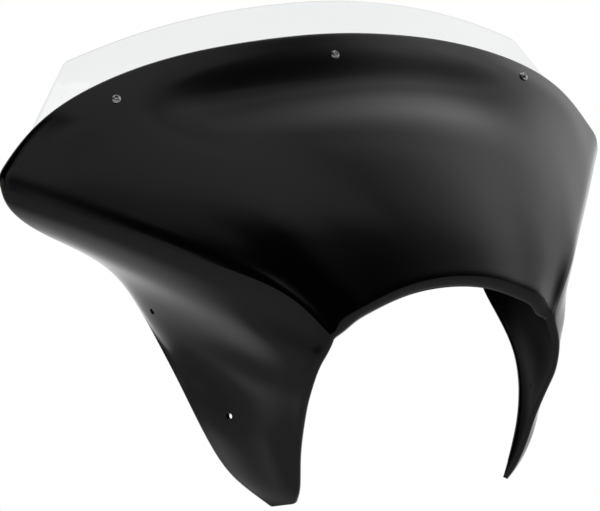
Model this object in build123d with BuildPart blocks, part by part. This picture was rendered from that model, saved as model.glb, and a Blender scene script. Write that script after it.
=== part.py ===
"""Fork-mounted motorcycle fairing with a low clear windscreen. All sizes are in millimetres.

X runs across the machine, Y points to the rear and Z points up. The origin lies midway between the two
upper bracket holes, on their common axis.
"""
import os
from math import degrees

from build123d import *

# Moulded shell
WALL = 4.0
BROW_LIP = 13.0  # radius of the rolled lip round the headlight opening
BORDER_LIP = 9.0  # radius of the rolled lip along wings and legs
TOP_LIP = 5.0  # radius of the rolled lip in front of the windscreen
TOE_LIP = 5.5  # radius of both lips at the foot of a leg
TOE_HOLLOW = 0.5  # inner lip radius left at the toe, where the wall closes the leg

# Bracket holes through both legs, along X: the upper pair lies on the origin
BRACKET_HOLE = 6.5
LOWER_HOLE_FORWARD = 86.0
LOWER_HOLE_DROP = 103.0

# Windscreen
SCREEN_THICK = 3.0
SCREEN_RISE = 32.0  # above the shell's top edge, on the centre line
SCREEN_OVERLAP = 15.0  # below the screws
SCREEN_CORNER_REACH = 295.0  # from the centre line to the upper corner
SCREEN_CORNER_FALL = 55.0  # from the top of the screen to the upper corner
SCREEN_SIDE_SLOPE = 52.0  # degrees from level
SCREEN_CORNER_RADIUS = 14.0
SCREEN_CURL_RADIUS = 280.0  # the sheet curls forward towards its top

# Fasteners
SCREW_DIA = 6.0
HEAD_DIA = 10.5
HEAD_HEIGHT = 3.3
HEAD_TOP_DIA = 5.6
SOCKET_ACROSS = 4.0
SOCKET_DEPTH = 2.0
SCREW_TAIL = 2.0  # beyond the nut
SPACER_DIA = 15.0
SPACER_THICK = 5.0
WASHER_DIA = 14.0
WASHER_THICK = 1.6
NUT_ACROSS = 10.0
NUT_HEIGHT = 4.5
COLLAR_DIA = 8.6
COLLAR_HEIGHT = 1.5
HOLE_CLEARANCE = 0.3  # round the screws, on the radius
THREAD_CLEARANCE = 0.05  # between screw and nut, on the radius
SEAT_CLEARANCE = 0.3  # where a flat face seats on a curved one

# Ribs of the skin run from the headlight opening to the outer border. Each gives its point on the opening's
# edge, its point on the border and how far the skin stands off the straight line between the two lips.
STATIONS = (0, 0.1, 0.35, 0.62, 0.86, 0.93, 1)
FRONT = Vector(0, -0.6, 0.8)
TURN = Vector(0.55, -0.5, 0.2)
SIDE = Vector(0.88, -0.35, -0.33)
CENTRE = ((0, -211, 37), (0, 21, 281.5), (8, 17, 9, -9.5, -5), FRONT, BROW_LIP, TOP_LIP)
FACE = [
    ((56, -210, 31), (100, 28, 276), (8, 17.5, 10, -8, -4), FRONT, BROW_LIP, TOP_LIP),
    ((95, -207, 18), (195, 39, 262), (8, 18.5, 12, -2, 0), FRONT, BROW_LIP, TOP_LIP),
    ((116, -205, 8), (280, 45, 237.5), (9, 19, 14, 6.5, 4), FRONT, BROW_LIP, TOP_LIP),
    ((127, -200, -3), (352, 50, 196), (12, 21, 15, 7, 4), FRONT, BROW_LIP, TOP_LIP),
    ((134, -197, -9), (387, 51, 160), (16, 24, 16, 7, 3.5), FRONT, BROW_LIP, BORDER_LIP),
]
CREASE = ((140, -195, -14), (397, 48, 137), (19, 22, 14, 5, 2), FRONT, BROW_LIP, BORDER_LIP)
SKIRT_AND_LEG = [
    ((146, -190, -26), (376, 51, 104), (12, 13, 9, 4, 2), FRONT, BROW_LIP, BORDER_LIP),
    ((153, -185, -41), (311, 55, 71), (6, 6, 4, 2, 1), TURN, BROW_LIP, BORDER_LIP),
    ((158, -177, -59), (254, 55, 39), (4, 5, 4, 2, 1), TURN, BROW_LIP, BORDER_LIP),
    ((160, -165, -92), (224, 25, -21), (6, 9, 9, 5, 3), SIDE, BORDER_LIP, BORDER_LIP),
    ((154, -151, -127), (223, -40, -79), (6, 10, 10, 6, 3), SIDE, BORDER_LIP, BORDER_LIP),
    ((147, -141, -158), (206, -68, -142), (4, 7, 7, 4, 2), SIDE, BORDER_LIP, BORDER_LIP),
    ((142, -132, -181), (190, -85, -174), (2, 4, 4, 2, 1), SIDE, TOE_LIP, TOE_LIP),
]
TOE = ((138, -120, -196), (158, -105, -201), (0, 0, 0, 0, 0), SIDE, TOE_LIP, TOE_LIP)

ribs = [CENTRE, *FACE, CREASE, *SKIRT_AND_LEG, TOE]
lower_count = len(SKIRT_AND_LEG) + 1
screw_station = len(STATIONS) - 2  # the last one before the border


def skin_points(rib):
    """Points of the outer skin along one rib, from lip to lip."""
    inner, border, stand_off, outward, brow_lip, border_lip = rib
    inner, border = Vector(*inner), Vector(*border)
    along = (border - inner).normalized()
    outward = (outward - along * outward.dot(along)).normalized()
    span = (border - inner).length - brow_lip - border_lip
    heights = (0, *stand_off, 0)
    return [inner + along * (brow_lip + share * span) + outward * h for share, h in zip(STATIONS, heights)]


def other_side(points):
    return [Vector(-p.X, p.Y, p.Z) for p in points]


half = [skin_points(rib) for rib in ribs]
rows = [other_side(row) for row in half[:0:-1]] + half
lips = [rib[-2:] for rib in ribs[:0:-1] + ribs]
centre_row = len(half) - 1
toe_rows = (0, len(rows) - 1)


def outward_normals(i):
    """Outward direction at each point of a row; a toe has one for all its points."""
    before, row, after = rows[max(i - 1, 0)], rows[i], rows[min(i + 1, len(rows) - 1)]
    last = len(row) - 1
    normals = []
    for j in range(len(row)):
        along = row[min(j + 1, last)] - row[max(j - 1, 0)]
        normals.append((after[j] - before[j]).cross(along).normalized())
    if i in toe_rows:
        mean = sum(normals, Vector(0, 0, 0)).normalized()
        normals = [mean] * len(row)
    return normals


def lip_points(end, neighbour, normal, lip, radius):
    """Start, middle and end of a quarter round that turns the skin inward, and the way it leaves the skin."""
    away = end - neighbour
    away = (away - normal * normal.dot(away)).normalized()
    centre = end - normal * lip
    return centre + normal * radius, centre + (normal + away).normalized() * radius, centre + away * radius, away


def wall_section(i):
    """Closed outline of the moulded wall at one rib: skin, both lips and the inside."""
    row, normals = rows[i], outward_normals(i)
    brow_lip, border_lip = lips[i]
    wall = TOE_LIP - TOE_HOLLOW if i in toe_rows else WALL
    inside = [p - n * wall for p, n in zip(row, normals)]
    brow_out = lip_points(row[0], row[1], normals[0], brow_lip, brow_lip)
    brow_in = lip_points(row[0], row[1], normals[0], brow_lip, brow_lip - wall)
    border_out = lip_points(row[-1], row[-2], normals[-1], border_lip, border_lip)
    border_in = lip_points(row[-1], row[-2], normals[-1], border_lip, border_lip - wall)
    forth = (-brow_out[3], border_out[3])
    back = (-border_out[3], brow_out[3])
    with BuildLine() as outline:
        ThreePointArc(brow_out[2], brow_out[1], brow_out[0])
        add(Edge.make_spline(row, tangents=forth, parameters=STATIONS))
        ThreePointArc(border_out[0], border_out[1], border_out[2])
        Line(border_out[2], border_in[2])
        ThreePointArc(border_in[2], border_in[1], border_in[0])
        add(Edge.make_spline(inside[::-1], tangents=back, parameters=[1 - s for s in STATIONS[::-1]]))
        ThreePointArc(brow_in[0], brow_in[1], brow_in[2])
        Line(brow_in[2], brow_out[2])
    return outline.wire()


sections = [wall_section(i) for i in range(len(rows))]
right_leg = Shell.make_loft(sections[-lower_count - 1 :])
left_leg = Shell.make_loft(sections[: lower_count + 1])
face = Shell.make_loft(sections[lower_count:-lower_count])
toes = [Face.make_surface(sections[0]), Face.make_surface(sections[-1])]


def screw_seat(rib_number):
    """Plane on the skin at the screw line of a rib: Z outward, X up along the rib."""
    row = rows[centre_row + rib_number]
    point = row[screw_station]
    normal = face.faces().sort_by_distance(point)[0].normal_at(point)
    if normal.dot(FRONT) < 0:
        normal = -normal
    up = row[-1] - point
    return Plane(origin=point, x_dir=up - normal * normal.dot(up), z_dir=normal)


screw_ribs = (-3, 0, 3)
screen_ribs = range(-4, 5)
screw_seats = [screw_seat(k) for k in screw_ribs]

# Depths below the skin along a screw
spacer_depth = WALL + SEAT_CLEARANCE
screen_depth = spacer_depth + SPACER_THICK + SEAT_CLEARANCE
screen_back = screen_depth + SCREEN_THICK
washer_depth = screen_back + SEAT_CLEARANCE
nut_depth = washer_depth + WASHER_THICK
tip_depth = nut_depth + NUT_HEIGHT + COLLAR_HEIGHT + SCREW_TAIL
screw_hole = SCREW_DIA / 2 + HOLE_CLEARANCE

with BuildPart() as fairing_shell:
    add(Solid(Shell([*left_leg.faces(), *face.faces(), *right_leg.faces(), *toes])))
    with Locations(*screw_seats):
        Cylinder(screw_hole, 4 * WALL, mode=Mode.SUBTRACT)
    leg_span = 2 * max(point.X for row in rows for point in row)
    with Locations((0, 0, 0), (0, -LOWER_HOLE_FORWARD, -LOWER_HOLE_DROP)):
        Cylinder(BRACKET_HOLE / 2, leg_span, rotation=(0, 90, 0), mode=Mode.SUBTRACT)

top_height = CENTRE[1][2] + SCREEN_RISE
corner_height = top_height - SCREEN_CORNER_FALL
screen_reach = 3 * SCREEN_RISE
curl_up = degrees(screen_reach / SCREEN_CURL_RADIUS)
curl_down = degrees(SCREEN_OVERLAP / SCREEN_CURL_RADIUS)

with BuildPart() as windscreen:
    for k in screen_ribs:
        seat = screw_seat(k)
        with BuildSketch(Plane(seat.origin, seat.x_dir, seat.y_dir)):
            with BuildLine():
                hub = (0, screen_depth - SCREEN_CURL_RADIUS)
                front = CenterArc(hub, SCREEN_CURL_RADIUS, 90 - curl_up, curl_up + curl_down)
                back = CenterArc(hub, SCREEN_CURL_RADIUS + SCREEN_THICK, 90 - curl_up, curl_up + curl_down)
                Line(front @ 0, back @ 0)
                Line(front @ 1, back @ 1)
            make_face()
    loft()
    with BuildSketch(Plane.XZ) as screen_outline:
        with BuildLine():
            top = ThreePointArc(
                (-SCREEN_CORNER_REACH, corner_height), (0, top_height), (SCREEN_CORNER_REACH, corner_height)
            )
            right = PolarLine(top @ 1, 2 * SCREEN_CORNER_FALL, -SCREEN_SIDE_SLOPE)
            left = PolarLine(top @ 0, 2 * SCREEN_CORNER_FALL, 180 + SCREEN_SIDE_SLOPE)
            Line(right @ 1, left @ 1)
        make_face()
        fillet(screen_outline.vertices().group_by(Axis.Y)[-1], SCREEN_CORNER_RADIUS)
    extrude(amount=top_height, both=True, mode=Mode.INTERSECT)
    with Locations(*screw_seats):
        Cylinder(screw_hole, 4 * screen_depth, mode=Mode.SUBTRACT)

with BuildPart() as screw:
    with BuildSketch(Plane.XZ):
        with BuildLine():
            Polyline(
                (HEAD_TOP_DIA / 2, SEAT_CLEARANCE + HEAD_HEIGHT),
                (0, SEAT_CLEARANCE + HEAD_HEIGHT),
                (0, -tip_depth),
                (SCREW_DIA / 2, -tip_depth),
                (SCREW_DIA / 2, SEAT_CLEARANCE),
                (HEAD_DIA / 2, SEAT_CLEARANCE),
            )
            RadiusArc(
                (HEAD_DIA / 2, SEAT_CLEARANCE), (HEAD_TOP_DIA / 2, SEAT_CLEARANCE + HEAD_HEIGHT), -HEAD_DIA / 2
            )
        make_face()
    revolve(axis=Axis.Z)
    with BuildSketch(Plane.XY.offset(SEAT_CLEARANCE + HEAD_HEIGHT)):
        RegularPolygon(SOCKET_ACROSS / 2, 6, major_radius=False)
    extrude(amount=-SOCKET_DEPTH, mode=Mode.SUBTRACT)

with BuildPart() as spacer:
    with BuildSketch(Plane.XY.offset(-spacer_depth)):
        Circle(SPACER_DIA / 2)
        Circle(screw_hole, mode=Mode.SUBTRACT)
    extrude(amount=-SPACER_THICK)

with BuildPart() as washer:
    with BuildSketch(Plane.XY.offset(-washer_depth)):
        Circle(WASHER_DIA / 2)
        Circle(screw_hole, mode=Mode.SUBTRACT)
    extrude(amount=-WASHER_THICK)

with BuildPart() as nut:
    with BuildSketch(Plane.XY.offset(-nut_depth)):
        RegularPolygon(NUT_ACROSS / 2, 6, major_radius=False)
    extrude(amount=-NUT_HEIGHT)
    with BuildSketch(Plane.XY.offset(-nut_depth - NUT_HEIGHT)):
        Circle(COLLAR_DIA / 2)
    extrude(amount=-COLLAR_HEIGHT)
    Cylinder(SCREW_DIA / 2 + THREAD_CLEARANCE, 3 * nut_depth, mode=Mode.SUBTRACT)

with BuildPart() as screen_screws:
    with Locations(*screw_seats):
        add(screw.part)

with BuildPart() as rubber_spacers:
    with Locations(*screw_seats):
        add(spacer.part)

with BuildPart() as back_washers:
    with Locations(*screw_seats):
        add(washer.part)

with BuildPart() as lock_nuts:
    with Locations(*screw_seats):
        add(nut.part)

fairing_shell.part.label = "fairing_shell"
windscreen.part.label = "windscreen"
screen_screws.part.label = "screen_screws"
rubber_spacers.part.label = "rubber_spacers"
back_washers.part.label = "back_washers"
lock_nuts.part.label = "lock_nuts"

os.makedirs("parts", exist_ok=True)
export_step(fairing_shell.part, "parts/fairing_shell.step")
export_step(windscreen.part, "parts/windscreen.step")
export_step(screen_screws.part, "parts/screen_screws.step")
export_step(rubber_spacers.part, "parts/rubber_spacers.step")
export_step(back_washers.part, "parts/back_washers.step")
export_step(lock_nuts.part, "parts/lock_nuts.step")
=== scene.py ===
"""Looks of a fork-mounted motorcycle fairing: lacquered shell, clear windscreen and its fasteners."""
from math import pi, radians

import bmesh
import bpy
import numpy as np
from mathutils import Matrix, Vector


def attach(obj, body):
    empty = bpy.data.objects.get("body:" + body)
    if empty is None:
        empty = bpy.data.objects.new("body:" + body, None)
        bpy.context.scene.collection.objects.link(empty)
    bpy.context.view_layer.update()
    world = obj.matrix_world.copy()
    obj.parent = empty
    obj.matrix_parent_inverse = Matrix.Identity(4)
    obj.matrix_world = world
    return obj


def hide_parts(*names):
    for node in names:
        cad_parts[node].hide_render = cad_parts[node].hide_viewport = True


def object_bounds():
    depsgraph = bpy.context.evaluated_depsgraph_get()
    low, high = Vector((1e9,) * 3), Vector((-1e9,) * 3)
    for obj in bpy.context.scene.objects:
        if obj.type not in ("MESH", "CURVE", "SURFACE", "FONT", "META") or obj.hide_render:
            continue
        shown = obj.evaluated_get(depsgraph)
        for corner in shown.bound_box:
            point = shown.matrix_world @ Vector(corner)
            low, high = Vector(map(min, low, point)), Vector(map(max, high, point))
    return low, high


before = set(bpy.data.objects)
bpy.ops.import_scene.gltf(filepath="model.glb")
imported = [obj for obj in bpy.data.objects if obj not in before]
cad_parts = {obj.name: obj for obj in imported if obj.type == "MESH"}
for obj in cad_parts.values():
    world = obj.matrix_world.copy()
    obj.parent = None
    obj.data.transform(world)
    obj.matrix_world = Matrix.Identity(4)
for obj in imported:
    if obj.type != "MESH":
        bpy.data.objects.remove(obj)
cad_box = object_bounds()
scene = bpy.context.scene
scene.view_settings.view_transform = "Standard"

MM = 0.001


def linear(hex_colour):
    """Linear RGBA of an sRGB hex colour."""
    parts = [int(hex_colour[i : i + 2], 16) / 255 for i in (1, 3, 5)]
    return (*(c / 12.92 if c <= 0.04045 else ((c + 0.055) / 1.055) ** 2.4 for c in parts), 1.0)


def noise_scale(grain_mm):
    """Scale of a noise texture with a grain of this many millimetres."""
    return 1 / (grain_mm * MM)


def add_node(tree, kind, inputs=None, **settings):
    """Adds a node with its settings; its inputs take a value or another node's output."""
    made = tree.nodes.new(kind)
    for name, value in settings.items():
        setattr(made, name, value)
    for name, value in (inputs or {}).items():
        if isinstance(value, bpy.types.NodeSocket):
            tree.links.new(value, made.inputs[name])
        else:
            made.inputs[name].default_value = value
    return made


def new_material(name):
    """Empty node material and its tree."""
    material = bpy.data.materials.new(name)
    material.use_nodes = True
    material.node_tree.nodes.clear()
    return material, material.node_tree


def close_material(tree, surface):
    """Ends the tree with its output."""
    add_node(tree, "ShaderNodeOutputMaterial", {"Surface": surface})


def black_lacquer():
    """Sprayed and polished black lacquer on moulded ABS: a deep black that shows only its reflections,
    with the faint orange peel that sprayed paint keeps, about 4 mm from crest to crest."""
    material, tree = new_material("black_lacquer_on_abs")
    place = add_node(tree, "ShaderNodeTexCoord").outputs["Object"]
    peel = add_node(
        tree, "ShaderNodeTexNoise", {"Vector": place, "Scale": noise_scale(4.0), "Detail": 1.0}
    )
    haze = add_node(
        tree, "ShaderNodeTexNoise", {"Vector": place, "Scale": noise_scale(111.0), "Detail": 3.0}
    )
    tone = add_node(
        tree,
        "ShaderNodeMix",
        {"Factor": haze.outputs["Fac"], "A": linear("#030303"), "B": linear("#060606")},
        data_type="RGBA",
    )
    polish = add_node(
        tree, "ShaderNodeMapRange", {"Value": haze.outputs["Fac"], "To Min": 0.1, "To Max": 0.16}
    )
    bump = add_node(
        tree, "ShaderNodeBump", {"Height": peel.outputs["Fac"], "Strength": 0.02, "Distance": 0.5 * MM}
    )
    shader = add_node(
        tree,
        "ShaderNodeBsdfPrincipled",
        {
            "Base Color": tone.outputs["Result"],
            "Roughness": polish.outputs["Result"],
            "IOR": 1.5,
            "Normal": bump.outputs["Normal"],
        },
    )
    close_material(tree, shader.outputs["BSDF"])
    return material


def bare_abs():
    """Unpainted inner side of the moulding: dull black ABS with a fine spark-eroded grain of about
    0.8 mm."""
    material, tree = new_material("bare_moulded_abs")
    place = add_node(tree, "ShaderNodeTexCoord").outputs["Object"]
    grain = add_node(
        tree, "ShaderNodeTexNoise", {"Vector": place, "Scale": noise_scale(0.8), "Detail": 2.0}
    )
    tone = add_node(
        tree,
        "ShaderNodeMix",
        {"Factor": grain.outputs["Fac"], "A": linear("#060607"), "B": linear("#0a0a0b")},
        data_type="RGBA",
    )
    bump = add_node(
        tree, "ShaderNodeBump", {"Height": grain.outputs["Fac"], "Strength": 0.15, "Distance": 0.2 * MM}
    )
    shader = add_node(
        tree,
        "ShaderNodeBsdfPrincipled",
        {
            "Base Color": tone.outputs["Result"],
            "Roughness": 0.65,
            "Specular IOR Level": 0.04,
            "Normal": bump.outputs["Normal"],
        },
    )
    close_material(tree, shader.outputs["BSDF"])
    return material


def clear_acrylic():
    """Cast acrylic sheet, polished: clear, with a faint haze from handling."""
    material, tree = new_material("clear_cast_acrylic")
    place = add_node(tree, "ShaderNodeTexCoord").outputs["Object"]
    haze = add_node(
        tree, "ShaderNodeTexNoise", {"Vector": place, "Scale": noise_scale(71.5), "Detail": 4.0}
    )
    polish = add_node(
        tree, "ShaderNodeMapRange", {"Value": haze.outputs["Fac"], "To Min": 0.02, "To Max": 0.08}
    )
    shader = add_node(
        tree,
        "ShaderNodeBsdfPrincipled",
        {
            "Base Color": linear("#f2f4f4"),
            "Roughness": polish.outputs["Result"],
            "IOR": 1.49,
            "Transmission Weight": 1.0,
        },
    )
    close_material(tree, shader.outputs["BSDF"])
    return material


def stainless_steel():
    """Turned stainless steel: fine tool marks about 0.4 mm apart blur its reflections."""
    material, tree = new_material("turned_stainless_steel")
    place = add_node(tree, "ShaderNodeTexCoord").outputs["Object"]
    marks = add_node(
        tree, "ShaderNodeTexNoise", {"Vector": place, "Scale": noise_scale(0.4), "Detail": 2.0}
    )
    polish = add_node(
        tree, "ShaderNodeMapRange", {"Value": marks.outputs["Fac"], "To Min": 0.2, "To Max": 0.42}
    )
    shader = add_node(
        tree,
        "ShaderNodeBsdfPrincipled",
        {"Base Color": linear("#dcdddd"), "Metallic": 1.0, "Roughness": polish.outputs["Result"]},
    )
    close_material(tree, shader.outputs["BSDF"])
    return material


def rubber():
    """Moulded EPDM rubber: dull black with a fine, slightly dusty grain of about 1 mm."""
    material, tree = new_material("moulded_epdm_rubber")
    place = add_node(tree, "ShaderNodeTexCoord").outputs["Object"]
    grain = add_node(
        tree, "ShaderNodeTexNoise", {"Vector": place, "Scale": noise_scale(1.0), "Detail": 3.0}
    )
    tone = add_node(
        tree,
        "ShaderNodeMix",
        {"Factor": grain.outputs["Fac"], "A": linear("#161617"), "B": linear("#262627")},
        data_type="RGBA",
    )
    shader = add_node(
        tree, "ShaderNodeBsdfPrincipled", {"Base Color": tone.outputs["Result"], "Roughness": 0.75}
    )
    close_material(tree, shader.outputs["BSDF"])
    return material


lacquer, inner_side = black_lacquer(), bare_abs()
acrylic, steel, epdm = clear_acrylic(), stainless_steel(), rubber()
finishes = {
    "fairing_shell": lacquer,
    "windscreen": acrylic,
    "screen_screws": steel,
    "rubber_spacers": epdm,
    "back_washers": steel,
    "lock_nuts": steel,
}
for name, finish in finishes.items():
    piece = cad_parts[name]
    piece.data.materials.clear()
    piece.data.materials.append(finish)

# Moulded shell, in millimetres, on finer ribs than the solid's. A rib is its end at the headlight brow, its
# end at the outer border, how far the skin stands off the line between them at the inner stations, the side
# it stands off to, and the lip at the border
WALL = 4.0
BORDER_LIP, LEG_LIP, TOP_LIP, TOE_LIP = 9.0, 5.5, 5.0, 5.5
BROW_LIPS = (13.0, 13.0, 13.0, 13.0, 12.0, 10.0, 8.5)  # at CENTRE and the ribs of FACE
CORNER_LIP = 7.5  # where brow and crease meet; from there the lip narrows to the toe
TOE_HOLLOW = 0.5
STATIONS = np.array((0, 0.1, 0.35, 0.62, 0.86, 0.93, 1))
FRONT, TURN, SIDE = (0, -0.6, 0.8), (0.55, -0.5, 0.2), (0.88, -0.35, -0.33)
CENTRE = ((0, -211, 37), (0, 21, 281.5), (8, 17, 8, -13, -5), FRONT, TOP_LIP)
FACE = [
    ((56, -210, 31), (100, 28, 276), (8, 17.5, 9, -11.5, -4), FRONT, TOP_LIP),
    ((95, -207, 18), (195, 39, 262), (8, 18.5, 11, -5, 0), FRONT, TOP_LIP),
    ((116, -205, 8), (280, 45, 237.5), (9, 19, 13.5, 5, 4), FRONT, TOP_LIP),
    ((127, -200, -3), (352, 50, 196), (12, 21, 15, 6.5, 4), FRONT, TOP_LIP),
    ((134, -197, -9), (386, 51, 162), (15, 23.5, 16, 7, 3.5), FRONT, BORDER_LIP),
    ((137.5, -196, -11.5), (394, 50, 149), (17, 23, 15.5, 6, 3), FRONT, BORDER_LIP),
]
CREASE = ((140, -195, -14), (395, 49, 137), (18, 22, 14, 5, 2), FRONT, BORDER_LIP)
SKIRT_AND_LEG = [
    ((142.5, -194, -19), (391, 49.5, 122), (15, 18, 12, 5, 2), FRONT, BORDER_LIP),
    ((147, -192, -27), (375, 51, 104), (11, 13, 9, 4, 2), FRONT, BORDER_LIP),
    ((155, -188, -41), (314, 51, 71.5), (7, 7, 5, 2.5, 1), TURN, BORDER_LIP),
    ((161, -182, -57.5), (262, 54, 42), (6, 9, 10, 7, 4), SIDE, BORDER_LIP),
    ((163, -175, -75.5), (233, 51, 10), (7, 14, 17, 13, 7.5), SIDE, LEG_LIP),
    ((161, -166.5, -92.5), (227, 20, -26), (6, 11, 12.5, 8.5, 4.5), SIDE, LEG_LIP),
    ((154, -151, -127), (224, -29, -78), (5, 8, 7.5, 4, 2), SIDE, LEG_LIP),
    ((147.5, -141, -158), (207, -58, -137), (4, 6, 6, 3, 1.5), SIDE, LEG_LIP),
    ((142, -132, -181), (188, -72, -170), (2, 4, 4, 2, 1), SIDE, TOE_LIP),
]
TOE = ((138, -120, -196), (157, -96, -201), (0, 0, 0, 0, 0), SIDE, TOE_LIP)
SKIN_SAMPLES, LIP_SAMPLES, SPAN_SAMPLES = 72, 8, 10
SHARP_EDGE = radians(28)


def spline(knots, values, at, slopes=None):
    """Cubic spline through values at knots, with natural ends or the given end slopes."""
    knots, values = np.asarray(knots, float), np.asarray(values, float)
    count = len(knots)
    gaps = np.diff(knots)
    rise = np.diff(values, axis=0) / gaps.reshape(-1, *[1] * (values.ndim - 1))
    matrix, right = np.zeros((count, count)), np.zeros_like(values)
    for i in range(1, count - 1):
        matrix[i, i - 1 : i + 2] = gaps[i], 2 * (gaps[i - 1] + gaps[i]), gaps[i - 1]
        right[i] = 3 * (gaps[i] * rise[i - 1] + gaps[i - 1] * rise[i])
    if slopes is None:
        matrix[0, :2], right[0] = (2, 1), 3 * rise[0]
        matrix[-1, -2:], right[-1] = (1, 2), 3 * rise[-1]
    else:
        matrix[0, 0], right[0] = 1, slopes[0]
        matrix[-1, -1], right[-1] = 1, slopes[1]
    slope = np.linalg.solve(matrix, right.reshape(count, -1)).reshape(values.shape)
    span = np.clip(np.searchsorted(knots, at, side="right") - 1, 0, count - 2)
    shape = (-1, *[1] * (values.ndim - 1))
    t = ((at - knots[span]) / gaps[span]).reshape(shape)
    h = gaps[span].reshape(shape)
    return (
        (1 + 2 * t) * (1 - t) ** 2 * values[span]
        + t * (1 - t) ** 2 * h * slope[span]
        + t**2 * (3 - 2 * t) * values[span + 1]
        + t**2 * (t - 1) * h * slope[span + 1]
    )


def unit(vectors):
    """The vectors at length 1."""
    return vectors / np.linalg.norm(vectors, axis=-1, keepdims=True)


def skin_points(rib):
    """Points of the outer skin along one rib, from lip to lip."""
    inner, border, stand_off, outward, border_lip, brow_lip = rib
    inner, border, outward = (np.array(v, float) for v in (inner, border, outward))
    along = unit(border - inner)
    outward = unit(outward - along * outward.dot(along))
    span = np.linalg.norm(border - inner) - brow_lip - border_lip
    heights = np.array((0, *stand_off, 0))
    return inner + along * (brow_lip + STATIONS[:, None] * span) + outward * heights[:, None]


def lip_arc(end, neighbour, normal, lip, radius):
    """Quarter round that turns the skin inward, from the skin on, and the way it leaves the skin."""
    away = end - neighbour
    away = unit(away - normal * normal.dot(away))
    turn = np.linspace(0, pi / 2, LIP_SAMPLES)[:, None]
    return end - normal * lip + (np.cos(turn) * normal + np.sin(turn) * away) * radius, away


def wall_sections(half):
    """Closed outlines of the wall, one for each rib from toe to toe."""
    mirror = np.array((-1, 1, 1))
    far_side = [skin_points(rib) * mirror for rib in half[:0:-1]]
    rows = np.array(far_side + [skin_points(rib) for rib in half])
    lips = [rib[-2:] for rib in half[:0:-1] + half]
    across = np.gradient(rows, axis=0)
    along = np.empty_like(rows)
    along[:, 1:-1] = rows[:, 2:] - rows[:, :-2]
    along[:, 0], along[:, -1] = rows[:, 1] - rows[:, 0], rows[:, -1] - rows[:, -2]
    normals = unit(np.cross(across, along))
    normals[0], normals[-1] = unit(normals[0].sum(0)), unit(normals[-1].sum(0))
    samples = np.linspace(0, 1, SKIN_SAMPLES)
    sections = []
    for i, (row, normal, (border, brow)) in enumerate(zip(rows, normals, lips)):
        wall = TOE_LIP - TOE_HOLLOW if i in (0, len(rows) - 1) else WALL
        sides = []
        for depth in (0, wall):
            skin = row - normal * depth
            start, way_in = lip_arc(row[0], row[1], normal[0], brow, brow - depth)
            stop, way_out = lip_arc(row[-1], row[-2], normal[-1], border, border - depth)
            start_speed = np.linalg.norm(skin[1] - skin[0]) / STATIONS[1]
            stop_speed = np.linalg.norm(skin[-1] - skin[-2]) / (1 - STATIONS[-2])
            slopes = (-way_in * start_speed, way_out * stop_speed)
            curve = spline(STATIONS, skin, samples, slopes)
            sides.append(np.concatenate([start[:0:-1], curve, stop[1:]]))
        sections.append(np.concatenate([sides[0], sides[1][::-1]]))
    return np.array(sections)


def loft(sections):
    """Rows of points through the sections, SPAN_SAMPLES to a span."""
    steps = np.sqrt(np.mean(np.sum(np.diff(sections, axis=0) ** 2, -1), 1))
    knots = np.concatenate([[0], np.cumsum(steps)])
    spans = np.arange((len(knots) - 1) * SPAN_SAMPLES + 1) / SPAN_SAMPLES
    return spline(knots, sections, np.interp(spans, np.arange(len(knots)), knots))


def shell_mesh(half, lower_count):
    """The shell's mesh: legs and face are lofted apart, so that the crease stays sharp between them."""
    sections = wall_sections(half)
    legs = loft(sections[: lower_count + 1]), loft(sections[-lower_count - 1 :])
    face = loft(sections[lower_count:-lower_count])
    rows = np.concatenate([legs[0], face[1:], legs[1][1:]])
    count, ring = rows.shape[:2]

    def corner(i, j):
        return i * ring + j % ring

    faces = [
        (corner(i, j), corner(i, j + 1), corner(i + 1, j + 1), corner(i + 1, j))
        for i in range(count - 1)
        for j in range(ring)
    ]
    for i in (0, count - 1):
        for j in range(ring // 2 - 1):
            quad = [corner(i, j), corner(i, j + 1), corner(i, ring - 2 - j), corner(i, ring - 1 - j)]
            faces.append(quad if i else quad[::-1])
    mesh = bpy.data.meshes.new("shell")
    mesh.from_pydata((rows.reshape(-1, 3) * MM).tolist(), [], faces)
    for polygon in mesh.polygons[: (count - 1) * ring]:
        polygon.material_index = int(polygon.index % ring >= ring // 2)
    mesh.validate()
    return mesh


leg_lips = np.linspace(CORNER_LIP, TOE_LIP, len(SKIRT_AND_LEG) + 2)
half = [(*rib, lip) for rib, lip in zip((CENTRE, *FACE), BROW_LIPS)]
half += [(*rib, lip) for rib, lip in zip((CREASE, *SKIRT_AND_LEG, TOE), leg_lips)]
shell = bpy.data.objects.new("lacquered_shell", shell_mesh(half, len(SKIRT_AND_LEG) + 1))
scene.collection.objects.link(shell)
facing = bmesh.new()
facing.from_mesh(shell.data)
bmesh.ops.recalc_face_normals(facing, faces=facing.faces)
facing.to_mesh(shell.data)
facing.free()
shell.data.materials.append(lacquer)
shell.data.materials.append(inner_side)

# Screw and bracket holes, in millimetres, cut where the solid has them
SCREW_HOLE, BRACKET_HOLE = 6.6, 6.5
UPPER_HOLE, LOWER_HOLE = (0.0, 0.0), (-86.0, -103.0)  # y and z of the bracket holes' axes
SCREW_CUT, BRACKET_CUT = 60.0, 600.0  # lengths of the cutters
SCREW_ZONE = 50.0  # a screw's points lie this near its place across the machine
CUTTER_SIDES = 32


def add_cutter(cuts, middle, axis, diameter, length):
    """Adds a cylinder to the cutters; its middle is in metres, its sizes are in millimetres."""
    turn = axis.to_track_quat("Z", "Y").to_matrix().to_4x4()
    turn.translation = middle
    radius = diameter / 2 * MM
    bmesh.ops.create_cone(
        cuts,
        cap_ends=True,
        segments=CUTTER_SIDES,
        radius1=radius,
        radius2=radius,
        depth=length * MM,
        matrix=turn,
    )


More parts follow.
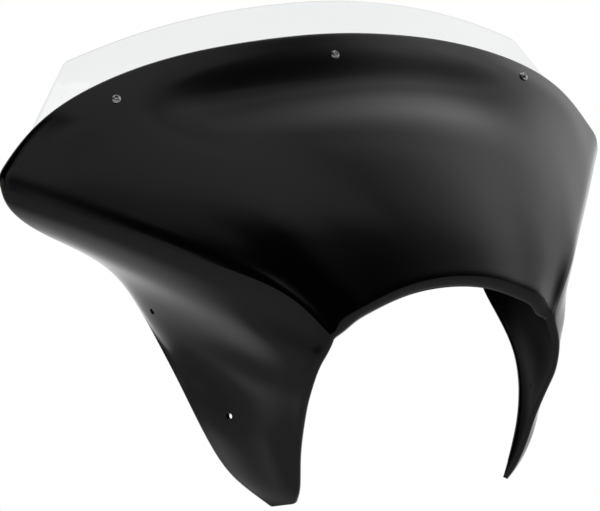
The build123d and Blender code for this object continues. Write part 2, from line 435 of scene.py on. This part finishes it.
cuts = bmesh.new()
screws = np.array([v.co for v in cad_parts["screen_screws"].data.vertices])
for side in (-1, 0, 1):
    off_centre = np.abs(screws[:, 0] - side * np.abs(screws[:, 0]).max())
    screw = screws[off_centre < SCREW_ZONE * MM]
    middle = screw.mean(0)
    axis = Vector(np.linalg.svd(screw - middle)[2][0])
    add_cutter(cuts, Vector(middle), axis, SCREW_HOLE, SCREW_CUT)
for y, z in (UPPER_HOLE, LOWER_HOLE):
    add_cutter(cuts, Vector((0, y * MM, z * MM)), Vector((1, 0, 0)), BRACKET_HOLE, BRACKET_CUT)
cutter = bpy.data.objects.new("cutter", bpy.data.meshes.new("cutter"))
cuts.to_mesh(cutter.data)
cuts.free()
scene.collection.objects.link(cutter)
boolean = shell.modifiers.new("holes", "BOOLEAN")
boolean.object, boolean.operation, boolean.solver = cutter, "DIFFERENCE", "EXACT"
bpy.context.view_layer.objects.active = shell
bpy.ops.object.modifier_apply(modifier=boolean.name)
bpy.data.objects.remove(cutter)
shell.data.shade_smooth()
shell.data.set_sharp_from_angle(angle=SHARP_EDGE)
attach(shell, "root")
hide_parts("fairing_shell")

# Floor, in metres, clear below the toes: the fairing hangs by its bracket holes. Behind the fairing its paper is
# white for the camera and in reflections; ahead and far left it is plain pale paper under the room's light
FLOOR_SIZE, FLOOR_DROP = 80.0, 0.3
SWEEP_FRONT, SWEEP_LEFT = (-0.28, 0.25), (-1.25, -0.55)  # y and x over which the white fades in
TENT_RADIUS = 12.0
TENT_SEGMENTS, TENT_RINGS = 64, 32
ROOM_LIGHT, BACKDROP = 0.3, 1.0


def seen_rays(tree):
    """1 for the rays that see the backdrop: the camera's, and those off or through a surface."""
    paths = add_node(tree, "ShaderNodeLightPath").outputs
    seen = paths["Is Camera Ray"]
    for kind in ("Is Glossy Ray", "Is Transmission Ray"):
        larger = add_node(tree, "ShaderNodeMath", {0: seen, 1: paths[kind]}, operation="MAXIMUM")
        seen = larger.outputs[0]
    return seen


floor_level = cad_box[0][2] - FLOOR_DROP
bpy.ops.mesh.primitive_plane_add(size=FLOOR_SIZE, location=(0, 0, floor_level))
floor = bpy.context.object
floor.name = "floor"
paper, tree = new_material("white_paper_floor")
place = add_node(tree, "ShaderNodeTexCoord").outputs["Object"]
place = add_node(tree, "ShaderNodeSeparateXYZ", {0: place}).outputs
share = seen_rays(tree)
for axis, (start, stop) in (("Y", SWEEP_FRONT), ("X", SWEEP_LEFT)):
    fade = add_node(
        tree,
        "ShaderNodeMapRange",
        {"Value": place[axis], "From Min": start, "From Max": stop},
        interpolation_type="SMOOTHSTEP",
    )
    product = add_node(tree, "ShaderNodeMath", {0: share, 1: fade.outputs[0]}, operation="MULTIPLY")
    share = product.outputs[0]
matte = add_node(tree, "ShaderNodeBsdfDiffuse", {"Color": linear("#f4f4f4")})
white = add_node(tree, "ShaderNodeEmission", {"Color": linear("#ffffff"), "Strength": BACKDROP})
mixed = add_node(tree, "ShaderNodeMixShader", {0: share, 1: matte.outputs[0], 2: white.outputs[0]})
close_material(tree, mixed.outputs[0])
floor.data.materials.append(paper)

# Studio that the lacquer mirrors: a strip light overhead in front, a white wall on the right, a faint glow low
# on the left, and a dark room. Stops are (cosine to the axis, brightness)
STRIP = ((-0.6, 0), (-0.55, 0.02), (-0.5, 0.2), (-0.44, 0.36), (-0.38, 0.42))  # along Y
STRIP_SKEW = -0.23  # how far the strip's rear edge turns with X
STRIP_REAR = ((-0.26, 1), (-0.15, 0))  # along Y, turned by the skew
STRIP_BACK = ((-0.32, 0), (-0.18, 1))  # along X: right of this the strip runs on to the rear
STRIP_RIGHT = ((0.2, 1), (0.55, 0.15))  # along X
WALL_RIGHT = ((-0.04, 0), (0.1, 0.3), (0.3, 0.38), (0.42, 0.45), (0.57, 0.58), (0.7, 0.76), (0.86, 1))
WALL_DEPTH = (
    (-0.8, 0.03),
    (-0.6, 0.18),
    (-0.45, 0.36),
    (-0.3, 0.65),
    (-0.05, 0.9),
    (0.15, 0.72),
    (0.45, 0.85),
)  # along Y
GLOW_LEFT = ((-0.95, 0.4), (-0.65, 0))  # along X
GLOW_LOW = ((0.1, 1), (0.4, 0))  # along Z
GLOW_REAR = ((-0.4, 0), (-0.1, 1))  # along Y

bpy.ops.mesh.primitive_uv_sphere_add(
    segments=TENT_SEGMENTS, ring_count=TENT_RINGS, radius=TENT_RADIUS, location=(0, 0, floor_level)
)
tent = bpy.context.object
tent.name = "light_tent"
cloth, tree = new_material("graded_tent_cloth")
place = add_node(tree, "ShaderNodeTexCoord").outputs["Object"]
way = add_node(tree, "ShaderNodeVectorMath", {0: place}, operation="NORMALIZE").outputs[0]
way = add_node(tree, "ShaderNodeSeparateXYZ", {0: way}).outputs


def graded(cosine, stops):
    """Brightness along one axis of the tent."""
    share = add_node(tree, "ShaderNodeMapRange", {"Value": cosine, "From Min": -1.0})
    ramp = add_node(tree, "ShaderNodeValToRGB", {"Fac": share.outputs[0]})
    for _ in stops[2:]:
        ramp.color_ramp.elements.new(1.0)
    for stop, (at, brightness) in zip(ramp.color_ramp.elements, stops):
        stop.position = (at + 1) / 2
        stop.color = (brightness, brightness, brightness, 1)
    return ramp.outputs["Color"]


def blended(blend, first, *others):
    """The brightnesses, blended in turn."""
    for other in others:
        mix = add_node(
            tree,
            "ShaderNodeMix",
            {"Factor": 1.0, "A": first, "B": other},
            data_type="RGBA",
            blend_type=blend,
        )
        first = mix.outputs["Result"]
    return first


skew = add_node(
    tree, "ShaderNodeMath", {0: way["X"], 1: STRIP_SKEW, 2: way["Y"]}, operation="MULTIPLY_ADD"
).outputs[0]
rear = blended("LIGHTEN", graded(skew, STRIP_REAR), graded(way["X"], STRIP_BACK))
strip = blended("MULTIPLY", graded(way["Y"], STRIP), rear, graded(way["X"], STRIP_RIGHT))
wall = blended("MULTIPLY", graded(way["X"], WALL_RIGHT), graded(way["Y"], WALL_DEPTH))
glow = blended(
    "MULTIPLY", graded(way["X"], GLOW_LEFT), graded(way["Z"], GLOW_LOW), graded(way["Y"], GLOW_REAR)
)
total = blended("LIGHTEN", strip, wall, glow)
light = add_node(tree, "ShaderNodeEmission", {"Color": total, "Strength": 1.0})
close_material(tree, light.outputs[0])
tent.data.materials.append(cloth)
tent.visible_camera = tent.visible_transmission = tent.visible_shadow = tent.visible_diffuse = False

world = bpy.data.worlds.new("white_studio")
scene.world = world
world.use_nodes = True
tree = world.node_tree
tree.nodes.clear()
level = add_node(
    tree, "ShaderNodeMapRange", {"Value": seen_rays(tree), "To Min": ROOM_LIGHT, "To Max": BACKDROP}
)
sky = add_node(
    tree, "ShaderNodeBackground", {"Color": linear("#ffffff"), "Strength": level.outputs[0]}
)
add_node(tree, "ShaderNodeOutputWorld", {"Surface": sky.outputs[0]})

# Softbox above the left of the fairing, for its shadow; the tent takes its place in reflections
SOFTBOX_PLACE = Vector((-0.9, -0.4, 1.5))
SOFTBOX_WIDTH, SOFTBOX_HEIGHT, SOFTBOX_WATTS = 1.2, 1.0, 5.0
softbox = bpy.data.lights.new("softbox", "AREA")
softbox.shape, softbox.energy = "RECTANGLE", SOFTBOX_WATTS
softbox.size, softbox.size_y = SOFTBOX_WIDTH, SOFTBOX_HEIGHT
lamp = bpy.data.objects.new("softbox", softbox)
scene.collection.objects.link(lamp)
lamp.location = SOFTBOX_PLACE
lamp.rotation_mode = "QUATERNION"
lamp.rotation_quaternion = (-SOFTBOX_PLACE).to_track_quat("-Z", "Y")
lamp.visible_glossy = False

# Camera, matched to the photograph: 35 degrees to the machine's right of dead ahead and slightly above
CAMERA_TARGET = Vector((-0.04605, 0.005, 0.0459))
CAMERA_AWAY = Vector((-0.5698, -0.8138, 0.1142)).normalized()
CAMERA_DISTANCE, CAMERA_REACH = 5.0, 200.0
SENSOR_MM, LENS_MM = 36.0, 281.34
lens = bpy.data.cameras.new("camera")
lens.sensor_width, lens.lens = SENSOR_MM, LENS_MM
lens.clip_end = CAMERA_REACH
camera = bpy.data.objects.new("camera", lens)
scene.collection.objects.link(camera)
camera.location = CAMERA_TARGET + CAMERA_AWAY * CAMERA_DISTANCE
camera.rotation_mode = "QUATERNION"
camera.rotation_quaternion = (-CAMERA_AWAY).to_track_quat("-Z", "Y")
scene.camera = camera
